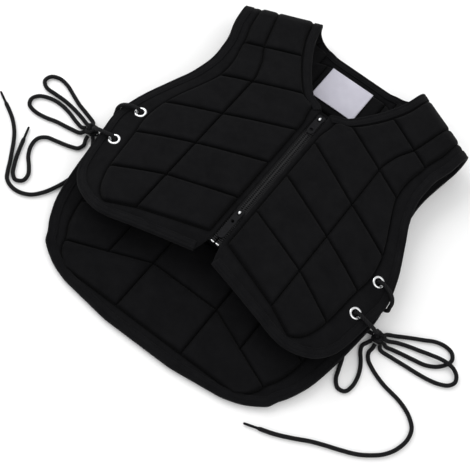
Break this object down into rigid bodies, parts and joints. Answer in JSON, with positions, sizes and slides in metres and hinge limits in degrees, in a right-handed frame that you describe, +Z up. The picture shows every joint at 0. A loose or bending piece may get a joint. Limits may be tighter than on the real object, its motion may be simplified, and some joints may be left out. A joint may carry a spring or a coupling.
{
  "type": "riding body protector vest",
  "caption": "Sleeveless quilted riding vest lying on its back, zipped in front, with laced sides, a blank neck label and loose lace bows.",
  "frame": {"origin": "middle of the box round the vest without its laces, on the floor that it lies on", "axes": "+X to the wearer's left, +Y from the tail to the shoulders, +Z up from the back to the zipped front"},
  "size_m": [0.5787, 0.4472, 0.047],
  "materials": {
    "shell": "matte woven cloth over soft foam cells",
    "binding": "flat woven tape with two rows of stitches",
    "tape": "herringbone zip tape",
    "teeth": "moulded plastic teeth",
    "slider": "black enamelled zinc",
    "eyelet": "nickel plated",
    "label": "smooth woven, blank",
    "lace": "round braid",
    "aglet": "smooth"
  },
  "bodies": {
    "vest": {"back_panel": "shell", "front_panel_left": "shell", "front_panel_right": "shell", "edge_binding_left": "binding", "edge_binding_right": "binding", "edge_binding_back": "binding", "neck_binding_left": "binding", "neck_binding_right": "binding", "neck_binding_back": "binding", "eyelet_front_left_upper": "eyelet", "eyelet_front_left_lower": "eyelet", "eyelet_front_right_upper": "eyelet", "eyelet_front_right_lower": "eyelet", "eyelet_back_left_upper": "eyelet", "eyelet_back_left_lower": "eyelet", "eyelet_back_right_upper": "eyelet", "eyelet_back_right_lower": "eyelet", "neck_label": "label", "zip_tape_left": "tape", "zip_teeth_left": "teeth", "zip_tape_right": "tape", "zip_teeth_right": "teeth", "zip_chain": "teeth", "zip_slider_top": "slider", "zip_slider_bottom": "slider", "lace_left_run": "lace", "lace_left_knot": "lace", "lace_left_loop_a": "lace", "lace_left_loop_b": "lace", "lace_left_tail_a": "lace", "lace_left_tail_b": "lace", "lace_left_aglet_a": "aglet", "lace_left_aglet_b": "aglet", "lace_right_run": "lace", "lace_right_knot": "lace", "lace_right_loop_a": "lace", "lace_right_loop_b": "lace", "lace_right_tail_a": "lace", "lace_right_tail_b": "lace", "lace_right_aglet_a": "aglet", "lace_right_aglet_b": "aglet"},
    "pull_top": {"zip_pull_top": "slider"},
    "pull_bottom": {"zip_pull_bottom": "slider"}
  },
  "joints": [
    {"name": "top_pull_turn", "type": "hinge", "parent": "vest", "child": "pull_top", "pos_m": [0, 0.1, 0.044], "axis": [-1, 0, 0], "range_deg": [0, 160]},
    {"name": "bottom_pull_turn", "type": "hinge", "parent": "vest", "child": "pull_bottom", "pos_m": [0, -0.055, 0.044], "axis": [-1, 0, 0], "range_deg": [0, 160]}
  ]
}
